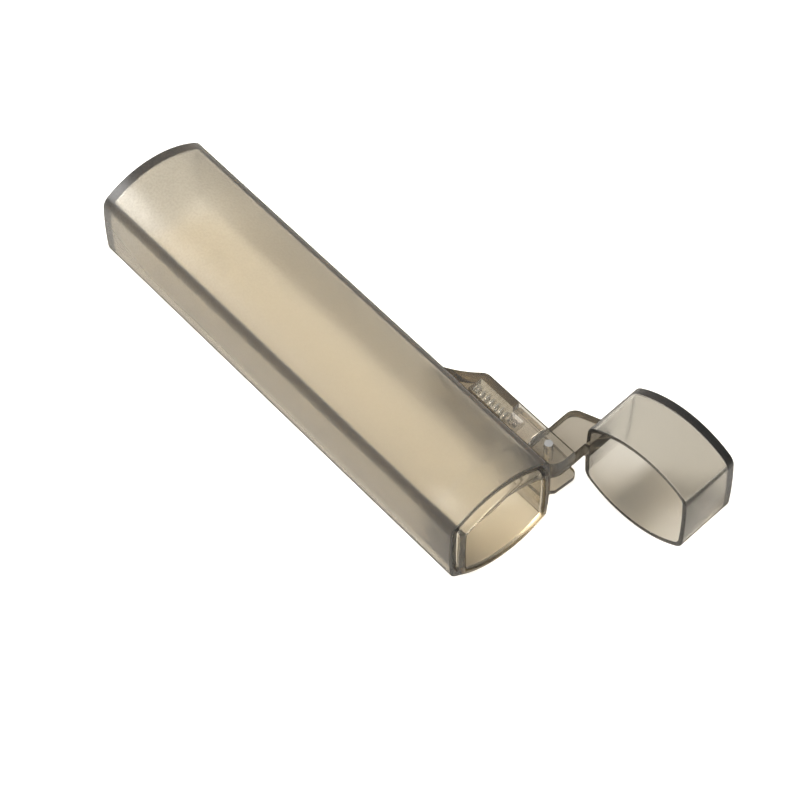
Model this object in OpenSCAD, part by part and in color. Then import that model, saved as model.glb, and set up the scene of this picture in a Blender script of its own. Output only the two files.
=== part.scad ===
// Pocket toothpick case: a crowned tube with a flip cap on a sprung slip-joint hinge.
// Millimetres. X runs along the case from its closed end, Y points to the hinge side and Z up.
// The origin is the middle of the closed end's flat outer face. The cap is drawn swung open.

/* [Case] */
// Length of the case from its closed end to the shoulder that the cap meets
case_len = 63; // [45:0.5:100]
// Width of the case across its two narrow faces
case_w = 15; // [13:0.1:24]
// Thickness of the case across its two crowned wide faces
case_t = 13.7; // [11.5:0.1:20]
// Rise of each wide face at its middle
crown = 2.5; // [1:0.1:3]
// Rise of each narrow face at its middle
side_crown = 0.17; // [0.05:0.01:0.5]
// Radius of the four long outer edges
corner_r = 1.75; // [0.8:0.05:2.2]
// Wall of the case's two crowned wide faces
wall = 0.85; // [0.75:0.05:1]
// Wall of the case's two narrow faces
side_wall = 1.25; // [1.1:0.05:1.35]
// Radius of the four long edges inside the case
bore_corner_r = 0.3; // [0.2:0.05:0.5]
// Wall of the closed end
end_wall = 0.95; // [0.8:0.05:2.5]

/* [Neck and cap] */
// Length of the neck that the cap closes over, which is the front of the collar
neck_len = 0.85; // [0.5:0.05:1]
// Length of the collar inside the case
collar_len = 4.2; // [2:0.1:8]
// Step from the outside of the case to the outside of the neck
neck_step = 0.85; // [0.75:0.05:1]
// Wall of the neck
collar_wall = 0.85; // [0.75:0.05:1.1]
// Radius of the four long edges inside the collar
collar_corner_r = 0.35; // [0.2:0.05:0.8]
// Length of the cap
cap_len = 8.2; // [6:0.1:14]
// Wall of the cap
cap_wall = 0.6; // [0.4:0.05:0.65]
// Wall of the cap's flat end
cap_end_wall = 0.9; // [0.6:0.05:1.6]
// Angle from closed to the open pose drawn here
cap_open = 94.8; // [80:0.2:100]

/* [Hinge] */
// Diameter of the hinge pin
pin_d = 1; // [0.8:0.05:1.4]
// Distance of the pin's axis back from the shoulder
pin_back = 3.3; // [3:0.05:4.5]
// Distance of the pin's axis out from the case's narrow face
pin_out = 2.65; // [2.5:0.05:3.2]
// How far each end of the pin stands proud of its ear
pin_proud = 0.1; // [0.05:0.05:0.3]
// Rise of the domed ends of the pin
pin_dome = 0.08; // [0.02:0.01:0.2]
// Thickness of each ear, and of the plates that carry on from them
ear_t = 0.75; // [0.5:0.05:1.2]
// How far the ears reach past the shoulder
ear_nose = 0.3; // [0.1:0.05:0.6]
// Radius of the ears' outer front corner
ear_nose_r = 1; // [0.5:0.1:1.5]
// Thickness of the cap's arm and knuckle
arm_t = 2.4; // [2:0.1:3.2]
// Distance of the knuckle's two flats from the pin's axis
cam_flat = 1.9; // [1.6:0.05:2.1]
// How far the knuckle's lobe rises above the two flats
cam_lift = 0.2; // [0.1:0.05:0.3]
// How far the arm's foot reaches up the cap from its mouth
arm_foot = 4.15; // [2.5:0.05:5]
// Lean of the arm's front edge
arm_lean = 17.5; // [5:0.5:25]
// Radius of the arm's outer corner
arm_corner_r = 1.5; // [0.8:0.1:1.8]

/* [Spring housing] */
// How far the housing and the ears stand out from the case's narrow face
fin_reach = 4.1; // [3.8:0.05:5]
// Length of the ramp that rises from the case to the housing's back corner
ramp_len = 5.7; // [4:0.1:9]
// Depth of the ramp's hollow below its chord
ramp_sag = 0.45; // [0.2:0.05:0.8]
// Radius of the corner at the top of the ramp
ramp_top_r = 1.4; // [0.4:0.1:2]
// Offset of the spring's axis from the pin's axis towards the case
spring_shift = 0.45; // [0.2:0.05:0.6]

/* [Spring and plunger] */
// Length of the plunger
plunger_len = 4.1; // [3:0.1:6]
// Room for the plunger to slide back in, behind it
plunger_room = 0.4; // [0.35:0.05:0.8]
// Depth of the plunger's bore, which takes the front of the spring
plunger_bore = 1.7; // [0.5:0.1:2.2]
// Length of the spring as fitted
spring_len = 7.55; // [5:0.05:12]
// Outside diameter of the spring
spring_d = 1.75; // [1.4:0.05:2]
// Diameter of the spring's wire
wire_d = 0.3; // [0.2:0.02:0.34]
// Pitch of the spring's turns as fitted
spring_pitch = 0.82; // [0.78:0.01:1.2]

/* [Clearances] */
// Gap that stays between the closed cap's mouth and the shoulder
mouth_gap = 0.05; // [0.02:0.01:0.2]
// Glue gap all round between the collar and the case
collar_gap = 0.05; // [0.02:0.01:0.1]
// Running gap round the hinge pin in the knuckle, on the radius
pin_gap = 0.05; // [0.02:0.01:0.1]
// Interference of the pin in the ears, on the radius
pin_press = 0.01; // [0:0.005:0.02]
// Gap on each side of the arm between the ears
arm_gap = 0.1; // [0.05:0.01:0.2]
// Gap between the turning cap and arm and the parts of the case that they pass
swing_gap = 0.1; // [0.05:0.01:0.2]
// Gap between the knuckle's lobe and the plunger's face
cam_gap = 0.03; // [0.02:0.01:0.1]
// Gap round the plunger between the plates
plunger_gap = 0.1; // [0.05:0.01:0.15]
// Gap round the spring in its pocket and in the plunger
spring_gap = 0.12; // [0.08:0.01:0.2]

/* [Hidden] */

CASE_COLOR = [0.72, 0.64, 0.53, 0.75];
CAP_COLOR = [0.68, 0.64, 0.57, 0.75];
STEEL_COLOR = [0.78, 0.78, 0.76];
PLUNGER_COLOR = [0.85, 0.8, 0.74, 0.8];
WIDE_FN = 240;
NARROW_FN = 960;
ROUND_FN = 96;
// Overlap that joins two solids of one piece
JOIN = 0.5;
// Distance that a cut runs past the face that it opens
THROUGH = 1;

// Radius of the arc that spans a chord with a given rise
function arc_r(chord, rise) = (chord * chord / 4 + rise * rise) / (2 * rise);

// Outer section of the case and cap: two pairs of arcs that meet in filleted corners
wide_r = arc_r(case_w - 2 * side_crown, crown);
narrow_r = arc_r(case_t - 2 * crown, side_crown);
wide_z = case_t / 2 - wide_r;
narrow_y = case_w / 2 - narrow_r;

// Centre of a corner fillet: it lies inside both arcs by their insets and its own radius.
// The first inset is that of the wide faces and the second that of the narrow ones.
function fillet_y(inset, r) = let (
    a = wide_r - inset[0] - r,
    b = narrow_r - inset[1] - r,
    d = norm([narrow_y, wide_z]),
    along = (a * a - b * b + d * d) / (2 * d),
    across = sqrt(a * a - along * along))
    (along * narrow_y - across * wide_z) / d;
function fillet_z(inset, r) =
    wide_z + sqrt(pow(wide_r - inset[0] - r, 2) - pow(fillet_y(inset, r), 2));

// Places shared by the pieces of the hinge and of the spring housing
side_y = case_w / 2;
root_y = side_y - side_wall / 2;
fin_y = side_y + fin_reach;
pin_x = case_len - pin_back;
pin_y = side_y + pin_out;
slot_h = arm_t + 2 * arm_gap;
fin_h = slot_h + 2 * ear_t;
cam_r = cam_flat + cam_lift;
spring_y = pin_y - spring_shift;
plunger_front = pin_x - cam_r - cam_gap;
plunger_back = plunger_front - plunger_len;
slot_back = plunger_back - plunger_room;
spring_front = plunger_back + plunger_bore;
spring_back = spring_front - spring_len;
spring_bore = spring_d + 2 * spring_gap;

// Ramp at the back of the housing: a hollow arc and the fillet that rounds its top
ramp_foot = [spring_back - ramp_len, side_y];
ramp_top = [spring_back, fin_y];
ramp_chord = norm(ramp_top - ramp_foot);
ramp_r = arc_r(ramp_chord, ramp_sag);
ramp_normal = [ramp_foot.y - ramp_top.y, ramp_top.x - ramp_foot.x] / ramp_chord;
ramp_centre = (ramp_top + ramp_foot) / 2 + ramp_normal * (ramp_r - ramp_sag);
ramp_fillet_y = fin_y - ramp_top_r;
ramp_fillet = [
    ramp_centre.x + sqrt(pow(ramp_r + ramp_top_r, 2) - pow(ramp_fillet_y - ramp_centre.y, 2)),
    ramp_fillet_y];
ramp_end = ramp_centre + (ramp_fillet - ramp_centre) * ramp_r / (ramp_r + ramp_top_r);

// Spring: the middle of its wire lies on a cylinder, which is unrolled to [x, around]
coil_r = (spring_d - wire_d) / 2;
bend_r = wire_d;
lead = atan(spring_pitch / (2 * PI * coil_r));
bend_end = 90 - lead;
RINGS = 8;
SIDES = 6;
BEND_STEPS = 3;

// The closed section, its wide and narrow faces inset from the outside, with corners of radius r
module section(inset, r) {
    fillet = [fillet_y(inset, r), fillet_z(inset, r)];
    up = (fillet - [0, wide_z]) / norm(fillet - [0, wide_z]);
    out = (fillet - [narrow_y, 0]) / norm(fillet - [narrow_y, 0]);
    reach = 4 * r + THROUGH;
    corner = [fillet, fillet + reach * up, fillet + reach * (up + out), fillet + reach * out];
    difference() {
        intersection() {
            translate([0, wide_z]) circle(wide_r - inset[0], $fn = WIDE_FN);
            translate([0, -wide_z]) circle(wide_r - inset[0], $fn = WIDE_FN);
            translate([narrow_y, 0]) circle(narrow_r - inset[1], $fn = NARROW_FN);
            translate([-narrow_y, 0]) circle(narrow_r - inset[1], $fn = NARROW_FN);
        }
        for (sy = [-1, 1], sz = [-1, 1])
            polygon([for (p = corner) [sy * p.x, sz * p.y]]);
    }
    for (sy = [-1, 1], sz = [-1, 1])
        translate([sy * fillet.x, sz * fillet.y]) circle(r, $fn = ROUND_FN);
}

// A length of that section along X
module run(x, length, inset, r) {
    translate([x, 0, 0]) rotate([90, 0, 90]) linear_extrude(length) section(inset, r);
}

// Outline of the spring housing and the ears, seen from above
module fin_outline() {
    nose_x = case_len + ear_nose - ear_nose_r;
    nose_y = fin_y - ear_nose_r;
    clear_y = side_y + swing_gap;
    difference() {
        polygon([
            [ramp_foot.x, root_y], ramp_foot, ramp_end, ramp_fillet, [ramp_fillet.x, fin_y],
            [nose_x, fin_y], [nose_x, root_y]]);
        translate(ramp_centre) circle(ramp_r, $fn = WIDE_FN);
    }
    translate(ramp_fillet) circle(ramp_top_r, $fn = ROUND_FN);
    translate([nose_x - JOIN, root_y]) square([case_len - nose_x + JOIN, nose_y - root_y]);
    translate([nose_x, nose_y]) circle(ear_nose_r, $fn = ROUND_FN);
    intersection() {
        translate([nose_x - JOIN, clear_y]) square([ear_nose_r + JOIN, nose_y - clear_y]);
        translate([pin_x, pin_y])
            circle(norm([pin_back + mouth_gap, pin_out]) - swing_gap, $fn = WIDE_FN);
    }
}

// Outline of the cap's knuckle and arm with the cap closed, measured from the pin's axis
module arm_outline() {
    swing_r = pin_out - swing_gap;
    mouth = pin_back + mouth_gap;
    foot = [mouth + arm_foot, -pin_out];
    sunk_y = -pin_out - cap_wall / 2;
    slope = tan(arm_lean);
    corner = [foot.x - (cam_flat - foot.y) * slope, cam_flat];
    centre = [corner.x - arm_corner_r * tan((90 - arm_lean) / 2), cam_flat - arm_corner_r];
    intersection() {
        circle(cam_r, $fn = ROUND_FN);
        translate([-cam_flat, -cam_flat]) square(2 * cam_flat);
    }
    intersection() {
        circle(swing_r, $fn = ROUND_FN);
        translate([-cam_flat, -swing_r]) square([cam_flat + JOIN, swing_r]);
    }
    polygon([
        [0, -swing_r], [mouth, -swing_r], [mouth, sunk_y], [foot.x, sunk_y], foot,
        centre + arm_corner_r * [cos(arm_lean), sin(arm_lean)], centre, [centre.x, cam_flat],
        [0, cam_flat]]);
    translate(centre) circle(arm_corner_r, $fn = ROUND_FN);
}

module case_body() {
    slot_len = pin_x - slot_back + norm([pin_back, pin_out]) + THROUGH;
    color(CASE_COLOR) difference() {
        union() {
            run(0, case_len, [0, 0], corner_r);
            translate([0, 0, -fin_h / 2]) linear_extrude(fin_h) fin_outline();
        }
        run(end_wall, case_len, [wall, side_wall], bore_corner_r);
        // Slot for the arm, the knuckle and the plunger, open to the front and to the outside
        translate([slot_back, side_y, -slot_h / 2])
            cube([slot_len, fin_reach + THROUGH, slot_h]);
        // Pocket of the spring behind the slot
        translate([spring_back, spring_y - spring_bore / 2, -slot_h / 2])
            cube([slot_back - spring_back + THROUGH, spring_bore, slot_h]);
        translate([pin_x, pin_y, -fin_h])
            cylinder(h = 2 * fin_h, r = pin_d / 2 - pin_press, $fn = ROUND_FN);
    }
}

module neck_collar() {
    back = case_len - collar_len;
    rim = case_len + neck_len;
    seat = case_len + collar_gap;
    inside = neck_step + collar_wall;
    plug = [max(wall + collar_gap, neck_step), side_wall + collar_gap];
    color(CASE_COLOR) difference() {
        union() {
            run(back, (seat + rim) / 2 - back, plug, bore_corner_r);
            run(seat, rim - seat, [neck_step, neck_step], bore_corner_r);
        }
        run(back - THROUGH, rim - back + 2 * THROUGH, [inside, inside], collar_corner_r);
    }
}

module cap() {
    mouth_x = case_len + mouth_gap;
    inside = cap_len - cap_end_wall;
    color(CAP_COLOR)
        translate([pin_x, pin_y, 0]) rotate([0, 0, cap_open])
            difference() {
                union() {
                    translate([-pin_x, -pin_y, 0]) run(mouth_x, cap_len, [0, 0], corner_r);
                    translate([0, 0, -arm_t / 2]) linear_extrude(arm_t) arm_outline();
                }
                translate([-pin_x, -pin_y, 0])
                    run(mouth_x - THROUGH, inside + THROUGH, [cap_wall, cap_wall], corner_r - cap_wall);
                translate([0, 0, -arm_t])
                    cylinder(h = 2 * arm_t, r = pin_d / 2 + pin_gap, $fn = ROUND_FN);
            }
}

module hinge_pin() {
    half = fin_h / 2 + pin_proud;
    straight = half - pin_dome;
    dome_r = arc_r(pin_d, pin_dome);
    color(STEEL_COLOR) translate([pin_x, pin_y, 0])
        rotate_extrude($fn = ROUND_FN) {
            translate([0, -straight]) square([pin_d / 2, 2 * straight]);
            for (end = [-1, 1])
                intersection() {
                    translate([0, end * (half - dome_r)]) circle(dome_r, $fn = WIDE_FN);
                    translate([0, end * half / 2 - half / 2]) square([pin_d / 2, half]);
                }
        }
}

module plunger() {
    height = slot_h - 2 * plunger_gap;
    width = fin_reach - 2 * plunger_gap;
    color(PLUNGER_COLOR)
        difference() {
            translate([plunger_back, side_y + plunger_gap, -height / 2])
                cube([plunger_len, width, height]);
            translate([plunger_back - THROUGH, spring_y, 0]) rotate([0, 90, 0])
                cylinder(h = plunger_bore + THROUGH, d = spring_bore, $fn = ROUND_FN);
        }
}

// Path of the wire's middle as [x, around]: straight end, bend, turns, bend, straight end
function bend(turned) = [wire_d, 0] + bend_r * [sin(turned), 1 - cos(turned)];
function around_angle(p) = p.y / coil_r * 180 / PI;
function on_coil(p) = [p.x, coil_r * cos(around_angle(p)), coil_r * sin(around_angle(p))];
bend_points = [for (i = [0:BEND_STEPS]) bend(bend_end * i / BEND_STEPS)];
turns_run = spring_len - 2 * bend(bend_end).x;
turns = [turns_run, turns_run / tan(lead)];
turn_steps = round(RINGS * turns.y / (2 * PI * coil_r));
path_end = [spring_len, 2 * bend(bend_end).y + turns.y];
wire_path = [
    [0, 0],
    each bend_points,
    for (i = [1:turn_steps - 1]) bend(bend_end) + turns * i / turn_steps,
    for (i = [BEND_STEPS:-1:0]) path_end - bend_points[i],
    path_end];
last = len(wire_path) - 1;

// Ring of the wire at point i, square to the path there
function wire_ring(i) = let (
    ahead = i <= 1 || i >= last - 1 ? [1, 0] : wire_path[i + 1] - wire_path[i - 1],
    dir = ahead / norm(ahead),
    a = around_angle(wire_path[i]),
    out = [0, cos(a), sin(a)],
    side = dir.x * [0, -sin(a), cos(a)] - dir.y * [1, 0, 0])
    [for (k = [0:SIDES - 1])
        on_coil(wire_path[i])
        + wire_d / 2 * (cos(360 * k / SIDES) * out + sin(360 * k / SIDES) * side)];

// Least clear space between two places on the wire that are over half a turn apart
least_gap = min([
    for (i = [0:last - 1], j = [i + 1:last])
        if (norm(wire_path[j] - wire_path[i]) > PI * coil_r)
            norm(on_coil(wire_path[j]) - on_coil(wire_path[i])) - wire_d]);

module plunger_spring() {
    rim = last * SIDES;
    points = [
        for (i = [0:last]) each wire_ring(i),
        on_coil(wire_path[0]),
        on_coil(wire_path[last])];
    faces = [
        for (i = [0:last - 1], k = [0:SIDES - 1]) let (
            a = i * SIDES + k,
            b = i * SIDES + (k + 1) % SIDES)
            each [[a, a + SIDES, b], [b, a + SIDES, b + SIDES]],
        for (k = [0:SIDES - 1]) let (next = (k + 1) % SIDES)
            each [[rim + SIDES, k, next], [rim + SIDES + 1, rim + next, rim + k]]];
    echo(turns = turns.y / (2 * PI * coil_r), least_gap = least_gap);
    color(STEEL_COLOR) translate([spring_back, spring_y, 0])
        polyhedron(points, faces, convexity = 10);
}

case_body();
neck_collar();
cap();
hinge_pin();
plunger();
plunger_spring();
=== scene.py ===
"""A translucent pocket toothpick case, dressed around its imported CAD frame."""

import math

import bpy
import numpy as np
from bpy.props import FloatProperty, FloatVectorProperty, PointerProperty
from mathutils import Matrix, Vector


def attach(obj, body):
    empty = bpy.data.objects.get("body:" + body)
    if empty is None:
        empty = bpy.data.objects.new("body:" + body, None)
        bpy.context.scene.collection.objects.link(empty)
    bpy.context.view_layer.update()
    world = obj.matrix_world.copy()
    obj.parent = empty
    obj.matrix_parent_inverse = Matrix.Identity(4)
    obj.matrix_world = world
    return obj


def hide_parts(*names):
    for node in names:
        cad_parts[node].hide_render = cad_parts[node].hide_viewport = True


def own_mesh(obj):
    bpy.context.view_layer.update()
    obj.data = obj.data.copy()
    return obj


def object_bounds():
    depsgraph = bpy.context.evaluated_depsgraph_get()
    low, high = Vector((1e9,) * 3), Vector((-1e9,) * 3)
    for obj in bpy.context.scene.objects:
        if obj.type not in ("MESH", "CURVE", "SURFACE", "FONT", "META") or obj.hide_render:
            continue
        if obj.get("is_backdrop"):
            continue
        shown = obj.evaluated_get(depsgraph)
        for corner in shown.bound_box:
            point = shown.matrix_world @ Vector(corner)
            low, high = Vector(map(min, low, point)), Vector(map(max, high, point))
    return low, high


bl_info = {
    "name": "Toothpick case",
    "version": (1, 0, 0),
    "blender": (4, 5, 0),
    "location": "3D View > Sidebar > Toothpick case",
    "description": "Builds a translucent toothpick case with a sprung flip cap",
    "category": "Object",
}

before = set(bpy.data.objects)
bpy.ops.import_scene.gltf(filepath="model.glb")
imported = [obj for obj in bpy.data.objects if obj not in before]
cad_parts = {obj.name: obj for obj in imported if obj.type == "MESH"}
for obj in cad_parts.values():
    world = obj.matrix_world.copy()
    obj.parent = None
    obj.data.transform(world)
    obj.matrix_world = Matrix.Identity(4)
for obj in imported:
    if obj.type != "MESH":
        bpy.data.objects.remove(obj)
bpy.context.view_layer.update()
MM = 0.001


def length(name, mm, words):
    """A length property whose default is given in millimetres."""
    return FloatProperty(name=name, description=words, default=mm * MM, min=0.0, unit="LENGTH")


def colour(name, values, words):
    """A colour property."""
    return FloatVectorProperty(
        name=name, description=words, default=values, size=3, min=0.0, max=1.0, subtype="COLOR")


class ToothpickCaseSizes(bpy.types.PropertyGroup):
    """Sizes of the case, as in the solids.

    Only these meshes have the small roundings of edges, and a spring with closed end turns, which
    leave its working turns a smaller pitch.
    """

    case_len: length("Case length", 63, "From the closed end to the shoulder")
    case_w: length("Width", 15, "Across the two narrow faces")
    case_t: length("Thickness", 13.7, "Across the two crowned wide faces")
    crown: length("Crown", 2.5, "Rise of each wide face at its middle")
    side_crown: length("Side crown", 0.17, "Rise of each narrow face at its middle")
    corner_r: length("Corner radius", 1.75, "Radius of the four long outer edges")
    wall: length("Case wall", 0.85, "Wall of the case's two crowned wide faces")
    side_wall: length("Side wall", 1.25, "Wall of the case's two narrow faces")
    bore_corner_r: length("Inner corner radius", 0.3, "Radius of the long edges inside the case")
    end_wall: length("End wall", 0.95, "Wall of the closed end")
    neck_len: length("Neck length", 0.85, "Length of the neck that the cap closes over")
    collar_len: length("Collar length", 4.2, "Length of the collar inside the case")
    neck_step: length("Neck step", 0.85, "Step from the case's outside to the neck's outside")
    collar_wall: length("Neck wall", 0.85, "Wall of the neck")
    collar_corner_r: length("Collar corner radius", 0.35, "Radius of the collar's inner edges")
    collar_gap: length("Collar gap", 0.05, "Glue gap between the collar and the case")
    end_edge_r: length("End edge", 0.18, "Rounding of the closed end's edge")
    shoulder_edge_r: length("Shoulder edge", 0.15, "Rounding of the shoulder's edge")
    rim_edge_r: length("Rim edge", 0.42, "Rounding of the outside of the neck's rim")
    mouth_edge_r: length("Mouth edge", 0.2, "Rounding of the inside of the neck's rim")
    bore_end_r: length("Bore end", 0.3, "Fillet at the bottom of the bore")
    cap_len: length("Cap length", 8.2, "Length of the cap")
    cap_wall: length("Cap wall", 0.6, "Wall of the cap")
    cap_end_wall: length("Cap end wall", 0.9, "Wall of the cap's flat end")
    cap_edge_r: length("Cap edge", 0.25, "Rounding of the cap's end edge")
    lip_edge_r: length("Lip edge", 0.12, "Rounding of the cap's lip")
    mouth_gap: length("Mouth gap", 0.05, "Gap between the closed cap and the shoulder")
    cap_open: FloatProperty(
        name="Cap angle", description="Angle from closed to the pose built here",
        default=math.radians(94.8), unit="ROTATION")
    pin_d: length("Pin diameter", 1, "Diameter of the hinge pin")
    pin_back: length("Pin back", 3.3, "Pin's axis behind the shoulder")
    pin_out: length("Pin out", 2.65, "Pin's axis out from the narrow face")
    pin_proud: length("Pin proud", 0.1, "How far the pin's ends stand out")
    pin_dome: length("Pin dome", 0.08, "Rise of the pin's domed ends")
    ear_t: length("Ear thickness", 0.75, "Thickness of each ear and plate")
    ear_nose: length("Ear nose", 0.3, "How far the ears pass the shoulder")
    ear_nose_r: length("Nose radius", 1, "Radius of the ears' outer front corner")
    arm_t: length("Arm thickness", 2.4, "Thickness of the arm and knuckle")
    cam_flat: length("Knuckle flat", 1.9, "Flats' distance from the pin's axis")
    cam_lift: length("Knuckle lift", 0.2, "Rise of the lobe above the flats")
    arm_foot: length("Arm foot", 4.15, "Reach of the arm's foot up the cap")
    arm_lean: FloatProperty(
        name="Arm lean", description="Lean of the arm's front edge",
        default=math.radians(17.5), unit="ROTATION")
    arm_corner_r: length("Arm corner", 1.5, "Radius of the arm's outer corner")
    swing_gap: length("Swing gap", 0.1, "Gap that the turning arm keeps")
    fin_reach: length("Housing reach", 4.1, "How far the housing stands out")
    ramp_len: length("Ramp length", 5.7, "Length of the housing's ramp")
    ramp_sag: length("Ramp sag", 0.45, "Hollow of the ramp below its chord")
    ramp_top_r: length("Ramp top radius", 1.4, "Radius at the top of the ramp")
    plate_edge_r: length("Plate edge", 0.1, "Rounding of the housing's and arm's edges")
    spring_shift: length("Spring shift", 0.45, "Spring's axis off the pin's axis")
    plunger_len: length("Plunger length", 4.1, "Length of the plunger")
    plunger_room: length("Plunger room", 0.4, "Room behind the plunger")
    plunger_bore: length("Plunger bore", 1.7, "Depth of the plunger's bore")
    plunger_gap: length("Plunger gap", 0.1, "Gap round the plunger")
    cam_gap: length("Plunger face gap", 0.03, "Gap between the lobe and the plunger")
    spring_len: length("Spring length", 7.55, "Length of the spring as fitted")
    spring_d: length("Spring diameter", 1.75, "Outside diameter of the spring")
    wire_d: length("Wire diameter", 0.3, "Diameter of the spring's wire")
    spring_gap: length("Spring gap", 0.12, "Gap round the spring")
    spring_pitch: length("Spring pitch", 0.78, "Pitch of the working turns")


class ToothpickCaseColours(bpy.types.PropertyGroup):
    """Colours of the plastics, the metals and the stage.

    A depth colour is the share of light that is left after about 1 mm of the plastic, and a shade
    is the share of lamp light that each of its surfaces lets through.
    """

    case_tint: colour("Case tint", (1.0, 1.0, 0.98), "Tint of the case's surface")
    # Painted shade: the case's surface turns to this dark tint where it is seen along itself.
    case_painted_edge_shade: colour("Case edge", (0.1, 0.08, 0.055), "Tint of the case's surface seen along it")
    case_depth: colour("Case depth", (0.78, 0.74, 0.665), "Light left by the depth of the case")
    case_shade: colour("Case shade", (0.93, 0.92, 0.90), "Lamp light let through by the case")
    collar_depth: colour("Collar depth", (0.87, 0.84, 0.785), "Light left by the collar's depth")
    collar_shade: colour("Collar shade", (0.985, 0.985, 0.98), "Lamp light let through by it")
    cap_tint: colour("Cap tint", (1.0, 1.0, 0.98), "Tint of the cap's surface")
    # Painted shade: the cap's and plunger's surfaces turn to this dark tint where seen along
    # themselves.
    cap_painted_edge_shade: colour("Cap edge", (0.08, 0.07, 0.06), "Tint of the cap's surface seen along it")
    cap_depth: colour("Cap depth", (0.715, 0.685, 0.635), "Light left by the depth of the cap")
    cap_shade: colour("Cap shade", (0.80, 0.79, 0.77), "Lamp light let through by the cap")
    plunger_tint: colour("Plunger tint", (0.97, 0.94, 0.92), "Tint of the plunger's surface")
    plunger_depth: colour("Plunger depth", (0.985, 0.983, 0.98), "Light left by its depth")
    # Painted shade: this coat tint darkens faces seen along themselves and the faces marked rim.
    painted_shade_tint: colour("Dim tint", (0.72, 0.695, 0.63), "Tint of the layer that darkens the edges")
    steel: colour("Pin", (0.95, 0.94, 0.92), "Colour of the pin")
    wire: colour("Spring wire", (0.75, 0.74, 0.72), "Colour of the spring")
    floor: colour("Floor", (0.85, 0.81, 0.735), "Colour of the floor")


# Places worked out from the sizes

class Places:
    """Where the pieces of the hinge and the housing lie, found from the sizes as in the solids."""

    def __init__(self, s):
        self.side_y = s.case_w / 2
        self.root_y = self.side_y - s.side_wall / 2
        self.fin_y = self.side_y + s.fin_reach
        self.pin = np.array([s.case_len - s.pin_back, self.side_y + s.pin_out])
        self.slot_h = s.arm_t + 2 * s.swing_gap
        self.fin_h = self.slot_h + 2 * s.ear_t
        self.spring_y = self.pin[1] - s.spring_shift
        self.plunger_front = self.pin[0] - s.cam_flat - s.cam_lift - s.cam_gap
        self.plunger_back = self.plunger_front - s.plunger_len
        self.slot_back = self.plunger_back - s.plunger_room
        self.spring_front = self.plunger_back + s.plunger_bore
        self.spring_back = self.spring_front - s.spring_len
        self.spring_bore = s.spring_d + 2 * s.spring_gap


def sizes():
    """The sizes that the scene holds."""
    return bpy.context.scene.toothpick_case_sizes


def colours():
    """The colours that the scene holds."""
    return bpy.context.scene.toothpick_case_colours


# Curves and meshes

ROUND_STEPS = 48
STRAIGHT_STEPS = 9


def arc_r(chord, rise):
    """Radius of the arc that spans a chord with a rise.

    It is half the chord squared plus the rise squared, over twice the rise.
    """
    return (chord * chord / 4 + rise * rise) / (2 * rise)


def arc(centre, r, start, end, count):
    """Points on an arc: centre plus r times (cosine, sine) of evenly spaced angles."""
    t = np.linspace(start, end, count)
    return np.column_stack([centre[0] + r * np.cos(t), centre[1] + r * np.sin(t)])


def section_quarter(s, wide_in, side_in, r):
    """A quarter of the crowned section from the narrow face's middle to the wide face's.

    The outline is the narrow arc and the wide arc, each moved in by its inset, and between them a
    corner arc of radius r that touches both: its centre is where two circles about theirs meet.
    """
    wide_r = arc_r(s.case_w - 2 * s.side_crown, s.crown)
    narrow_r = arc_r(s.case_t - 2 * s.crown, s.side_crown)
    wide = np.array([0, s.case_t / 2 - wide_r])
    narrow = np.array([s.case_w / 2 - narrow_r, 0])
    a, b = wide_r - wide_in - r, narrow_r - side_in - r
    gap = narrow - wide
    d = np.linalg.norm(gap)
    forward = (a * a - b * b + d * d) / (2 * d)
    across = math.sqrt(a * a - forward * forward)
    unit = gap / d
    corner = wide + forward * unit + across * np.array([unit[1], -unit[0]])
    to_side = math.atan2(*(corner - narrow)[::-1])
    to_top = math.atan2(*(corner - wide)[::-1])
    side_points, corner_points, wide_points = 8, 10, 26
    return np.concatenate([
        arc(narrow, narrow_r - side_in, 0, to_side, side_points)[:-1],
        arc(corner, r, to_side, to_top, corner_points)[:-1],
        arc(wide, wide_r - wide_in, to_top, math.pi / 2, wide_points)])


def section_loop(s, wide_in, side_in, r):
    """The whole section: the quarter and its mirror images in turn, one closed loop of (y, z)."""
    q = section_quarter(s, wide_in, side_in, r)
    return np.concatenate([
        q[:-1], (q * [-1, 1])[::-1][:-1], (q * [-1, -1])[:-1], (q * [1, -1])[::-1][:-1]])


def quarter_round(count=6):
    """Sine and one minus cosine of angles from 0 to 90 degrees, for a rounded edge."""
    t = np.linspace(0, math.pi / 2, count)
    return np.sin(t), 1 - np.cos(t)


def join_profile(*runs):
    """Runs of (place along the axis, inset) joined into one profile."""
    return np.concatenate([np.atleast_2d(run) for run in runs])


def rounded(start, end, along_first, count=6):
    """A quarter round from start to end, each (x, inset), that leaves along or across the axis.

    What leaves first goes with the sine of the angle, and the other with one minus its cosine.
    """
    sine, rest = quarter_round(count)
    start, end = np.array(start), np.array(end)
    x_part, inset_part = (sine, rest) if along_first else (rest, sine)
    return np.column_stack([
        start[0] + (end[0] - start[0]) * x_part,
        start[1] + (end[1] - start[1]) * inset_part])


def new_mesh(name, points, faces):
    """An object of those points and faces, turned so that its faces point outwards.

    The sum of the triangles' triple products is negative where they point inwards.
    """
    mesh = bpy.data.meshes.new(name)
    mesh.from_pydata(points, [], faces)
    mesh.validate()
    obj = bpy.data.objects.new(name, mesh)
    bpy.context.scene.collection.objects.link(obj)
    mesh.calc_loop_triangles()
    corners = np.empty(len(mesh.loop_triangles) * 3, np.int32)
    mesh.loop_triangles.foreach_get("vertices", corners)
    tri = np.asarray(points)[corners.reshape(-1, 3)]
    if np.einsum("ij,ij->i", tri[:, 0], np.cross(tri[:, 1], tri[:, 2])).sum() < 0:
        mesh.flip_normals()
    return obj


def mark_faces(obj, name, values):
    """Keeps one value for each face, which a material can read."""
    marks = obj.data.attributes.new(name, "FLOAT", "FACE")
    marks.data.foreach_set("value", np.asarray(values, np.float32))


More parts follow.
